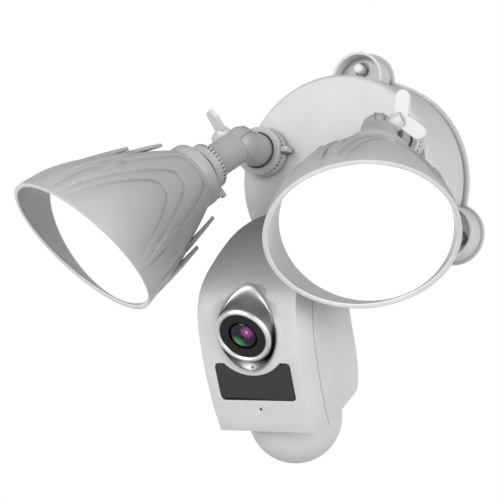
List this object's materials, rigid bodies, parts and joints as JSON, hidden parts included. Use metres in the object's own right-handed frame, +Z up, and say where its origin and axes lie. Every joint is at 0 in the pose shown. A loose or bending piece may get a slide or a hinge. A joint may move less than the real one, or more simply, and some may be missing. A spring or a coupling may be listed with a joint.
{
  "type": "floodlight security camera",
  "caption": "Round wall base with aimable bell-shaped floodlights on jointed arms above a hooded camera head with a lens, smoked infrared panel and motion dome.",
  "frame": {"origin": "centre of the base on the wall plane, midway between the junction box screws", "axes": "+Z up, +Y into the wall, -Y out of the wall towards the viewer, +X to the right seen from the front"},
  "size_m": [0.236, 0.212, 0.2355],
  "materials": {
    "base_plastic": "fine moulded texture",
    "housing_plastic": "smooth satin",
    "lamp_plastic": "smooth satin",
    "ring_plastic": "smooth satin",
    "diffuser_opal": "opal, lit from behind",
    "dome_opal": "opal satin",
    "satin_trim": "satin",
    "bright_ring": "polished",
    "black_gloss": "gloss",
    "lens_glass": "coated",
    "smoked_panel": "smoked gloss",
    "zinc_plate": "zinc plated",
    "screw_steel": "zinc plated",
    "gasket_foam": "closed cell foam",
    "grommet_rubber": "matte",
    "terminal_plastic": "matte",
    "board_green": "solder mask",
    "component_black": "matte",
    "heat_sink_metal": "cast",
    "led_board_white": "white solder mask",
    "led_phosphor": "phosphor",
    "reflector_white": "gloss white",
    "barrel_black": "black",
    "emitter_clear": "clear",
    "painted_screw": "gloss",
    "speaker_black": "matte",
    "sensor_metal": "plated"
  },
  "bodies": {
    "base": {"mounting_bracket": "zinc_plate", "wall_gasket": "gasket_foam", "base_shell": "base_plastic", "ear_screws": "painted_screw", "cable_grommet": "grommet_rubber", "terminal_block": "terminal_plastic", "driver_board": "board_green", "driver_components": "component_black", "fixing_screws": "screw_steel", "camera_neck_socket": "base_plastic", "left_arm_collar": "base_plastic", "right_arm_collar": "base_plastic"},
    "left_base_ring": {"left_arm_lock_ring": "ring_plastic"},
    "left_arm": {"left_arm_elbow": "base_plastic", "left_arm_retainer": "ring_plastic", "left_pivot_nut": "screw_steel"},
    "left_lamp_arm": {"left_lamp_elbow": "base_plastic"},
    "left_wing": {"left_wing_screw": "ring_plastic"},
    "left_head_ring": {"left_head_lock_ring": "ring_plastic"},
    "left_head": {"left_head_collar": "lamp_plastic", "left_lamp_shade": "lamp_plastic", "left_heat_sink": "heat_sink_metal", "left_led_board": "led_board_white", "left_led_chips": "led_phosphor", "left_reflector": "reflector_white", "left_diffuser": "diffuser_opal"},
    "right_base_ring": {"right_arm_lock_ring": "ring_plastic"},
    "right_arm": {"right_arm_elbow": "base_plastic", "right_arm_retainer": "ring_plastic", "right_pivot_nut": "screw_steel"},
    "right_lamp_arm": {"right_lamp_elbow": "base_plastic"},
    "right_wing": {"right_wing_screw": "ring_plastic"},
    "right_head_ring": {"right_head_lock_ring": "ring_plastic"},
    "right_head": {"right_head_collar": "lamp_plastic", "right_lamp_shade": "lamp_plastic", "right_heat_sink": "heat_sink_metal", "right_led_board": "led_board_white", "right_led_chips": "led_phosphor", "right_reflector": "reflector_white", "right_diffuser": "diffuser_opal"},
    "neck": {"camera_neck": "base_plastic"},
    "camera_head": {"camera_front_shell": "housing_plastic", "camera_rear_shell": "housing_plastic", "lens_surround": "satin_trim", "lens_bezel": "bright_ring", "lens_window": "black_gloss", "lens_glass": "lens_glass", "lens_barrel": "barrel_black", "sensor_board": "board_green", "infrared_window": "smoked_panel", "infrared_leds": "emitter_clear", "camera_board": "board_green", "siren_speaker": "speaker_black", "microphones": "terminal_plastic", "motion_dome": "dome_opal", "motion_sensor": "sensor_metal", "housing_screws": "screw_steel", "camera_hinge_pin": "screw_steel"},
    "button": {"reset_button": "housing_plastic"},
    "hatch": {"card_hatch": "housing_plastic"}
  },
  "joints": [
    {"name": "left_arm_lock", "type": "hinge", "parent": "base", "child": "left_base_ring", "pos_m": [-0.0415, -0.06, 0.0156], "axis": [0, -1, 0], "range_deg": [0, 60]},
    {"name": "left_arm_swivel", "type": "hinge", "parent": "base", "child": "left_arm", "pos_m": [-0.0415, -0.06, 0.0156], "axis": [0, -1, 0], "range_deg": [-20, 13]},
    {"name": "left_lamp_tilt", "type": "hinge", "parent": "left_arm", "child": "left_lamp_arm", "pos_m": [-0.0415, -0.0833, 0.0156], "axis": [0.8377, 0, -0.5461], "range_deg": [-26, 30]},
    {"name": "left_wing_turn", "type": "hinge", "parent": "left_arm", "child": "left_wing", "pos_m": [-0.0415, -0.0833, 0.0156], "axis": [0.8377, 0, -0.5461], "continuous": true},
    {"name": "left_head_lock", "type": "hinge", "parent": "left_lamp_arm", "child": "left_head_ring", "pos_m": [-0.05147, -0.10453, 0.0003], "axis": [-0.3561, -0.7581, -0.5463], "range_deg": [0, 60]},
    {"name": "left_head_roll", "type": "hinge", "parent": "left_lamp_arm", "child": "left_head", "pos_m": [-0.06287, -0.12879, -0.01718], "axis": [-0.3561, -0.7581, -0.5463], "range_deg": [-45, 45]},
    {"name": "right_arm_lock", "type": "hinge", "parent": "base", "child": "right_base_ring", "pos_m": [0.0415, -0.06, 0.0156], "axis": [0, -1, 0], "range_deg": [0, 60]},
    {"name": "right_arm_swivel", "type": "hinge", "parent": "base", "child": "right_arm", "pos_m": [0.0415, -0.06, 0.0156], "axis": [0, -1, 0], "range_deg": [-9, 20]},
    {"name": "right_lamp_tilt", "type": "hinge", "parent": "right_arm", "child": "right_lamp_arm", "pos_m": [0.0415, -0.0833, 0.0156], "axis": [0.9114, 0, 0.4115], "range_deg": [-24, 32]},
    {"name": "right_wing_turn", "type": "hinge", "parent": "right_arm", "child": "right_wing", "pos_m": [0.0415, -0.0833, 0.0156], "axis": [0.9114, 0, 0.4115], "continuous": true},
    {"name": "right_head_lock", "type": "hinge", "parent": "right_lamp_arm", "child": "right_head_ring", "pos_m": [0.04861, -0.10533, -0.00015], "axis": [0.2539, -0.7869, -0.5624], "range_deg": [0, 60]},
    {"name": "right_head_roll", "type": "hinge", "parent": "right_lamp_arm", "child": "right_head", "pos_m": [0.05674, -0.13052, -0.01814], "axis": [0.2539, -0.7869, -0.5624], "range_deg": [-45, 45]},
    {"name": "camera_pan", "type": "hinge", "parent": "base", "child": "neck", "pos_m": [0, -0.066, -0.038], "axis": [0, 0, 1], "range_deg": [-12, 12]},
    {"name": "camera_tilt", "type": "hinge", "parent": "neck", "child": "camera_head", "pos_m": [0, -0.083, -0.038], "axis": [1, 0, 0], "range_deg": [-6, 12]},
    {"name": "reset_press", "type": "slide", "parent": "camera_head", "child": "button", "axis": [1, 0, 0], "range_m": [0, 0.0008], "stiffness_N_per_m": 400},
    {"name": "card_hatch_open", "type": "hinge", "parent": "camera_head", "child": "hatch", "pos_m": [-0.0302, -0.104, -0.094], "axis": [0, 0, -1], "range_deg": [0, 100]}
  ]
}
